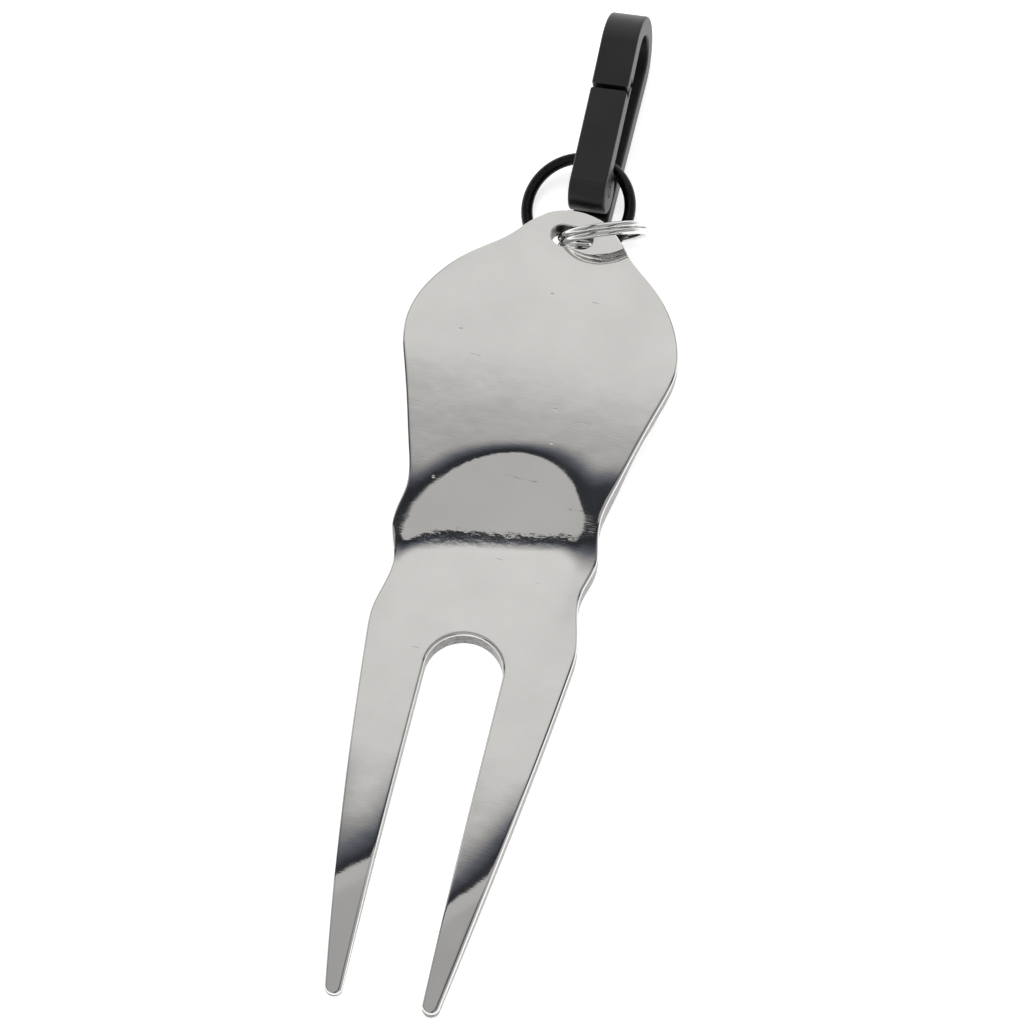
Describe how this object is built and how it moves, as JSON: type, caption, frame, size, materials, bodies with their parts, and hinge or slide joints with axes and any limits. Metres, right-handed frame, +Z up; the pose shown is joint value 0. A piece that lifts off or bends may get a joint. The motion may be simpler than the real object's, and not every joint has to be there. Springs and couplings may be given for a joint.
{
  "type": "divot repair tool",
  "caption": "Two-tine golf divot repair fork with a round head, a magnetic ball marker seat, a split ring, a link ring and a hook-shaped spring-gate snap clip.",
  "frame": {"origin": "centre of the marker seat's rim on the front of the head, in the plane of the rim that the tool rests on", "axes": "+Z up, out of the tool's back; +Y along the tool from the tines to the head and on to the clip; +X to the right; the front with the ball marker faces -Z"},
  "size_m": [0.028, 0.1134, 0.0096],
  "materials": {
    "plated_zinc": "die-cast zinc, polished and bright-plated",
    "nickel_magnet": "nickel-plated disc magnet",
    "marker_steel": "nickel-plated pressed steel",
    "marker_enamel": "green baked enamel",
    "plated_spring_steel": "bright-plated spring steel wire",
    "black_plated_steel": "satin black-plated steel wire",
    "anodised_aluminium": "satin black anodised",
    "pin_steel": "blackened steel",
    "spring_wire": "music wire"
  },
  "bodies": {
    "tool": {"fork_body": "plated_zinc", "marker_magnet": "nickel_magnet"},
    "marker": {"ball_marker": "marker_steel", "marker_inlay": "marker_enamel"},
    "split": {"split_ring": "plated_spring_steel"},
    "link": {"link_ring": "black_plated_steel"},
    "clip": {"clip_frame": "anodised_aluminium", "gate_pin": "pin_steel", "gate_spring": "spring_wire"},
    "gate": {"clip_gate": "anodised_aluminium"}
  },
  "joints": [
    {"name": "marker_lift", "type": "slide", "parent": "tool", "child": "marker", "axis": [0, 0, -1], "range_m": [0, 0.004], "stiffness_N_per_m": 300},
    {"name": "split_swing", "type": "hinge", "parent": "tool", "child": "split", "pos_m": [-0.00121, 0.01385, 0.0046], "axis": [0, 0, 1], "range_deg": [-8, 20]},
    {"name": "link_lift", "type": "hinge", "parent": "split", "child": "link", "pos_m": [0.00443, 0.01676, 0.00239], "axis": [0.9535, 0.2209, 0.2049], "range_deg": [0, 10]},
    {"name": "clip_swing", "type": "hinge", "parent": "link", "child": "clip", "pos_m": [0.00075, 0.02463, 0.0036], "axis": [-0.1219, 0, 0.9925], "range_deg": [-30, 3]},
    {"name": "gate_open", "type": "hinge", "parent": "clip", "child": "gate", "pos_m": [0.00059, 0.0204, 0.00481], "axis": [0.9925, 0, 0.1219], "range_deg": [-16, 0], "stiffness_Nm_per_rad": 0.012, "springref_deg": 5.73}
  ]
}
